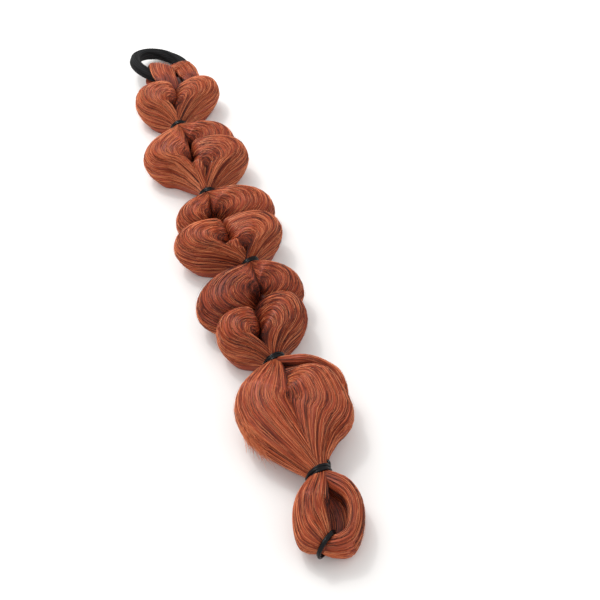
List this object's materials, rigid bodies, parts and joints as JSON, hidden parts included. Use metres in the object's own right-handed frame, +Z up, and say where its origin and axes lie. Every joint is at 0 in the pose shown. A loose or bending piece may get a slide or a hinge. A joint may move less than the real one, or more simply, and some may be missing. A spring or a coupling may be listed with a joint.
{
  "type": "bubble ponytail",
  "caption": "Plaited hair piece pulled out into round bubbles between small rubber elastics, hung from a cotton hair tie that loops over the wearer's own ponytail.",
  "frame": {"origin": "on the table under the middle of the piece's box, as it lies", "axes": "+Y runs along the piece from the tail's tip to the hair tie, +Z is up from the table, +X is to the right seen from above with the tie at the top"},
  "size_m": [0.091, 0.5052, 0.0431],
  "materials": {
    "synthetic_hair": "copper synthetic fibre, satin",
    "tie_cotton": "black cotton knit over elastic, matt",
    "elastic_rubber": "black rubber, shiny"
  },
  "bodies": {
    "root": {"hair_tie": "tie_cotton", "strand_left": "synthetic_hair", "strand_back": "synthetic_hair", "strand_right": "synthetic_hair", "small_elastic_1": "elastic_rubber", "small_elastic_2": "elastic_rubber", "small_elastic_3": "elastic_rubber", "small_elastic_4": "elastic_rubber", "small_elastic_5": "elastic_rubber", "small_elastic_6": "elastic_rubber"}
  },
  "joints": []
}
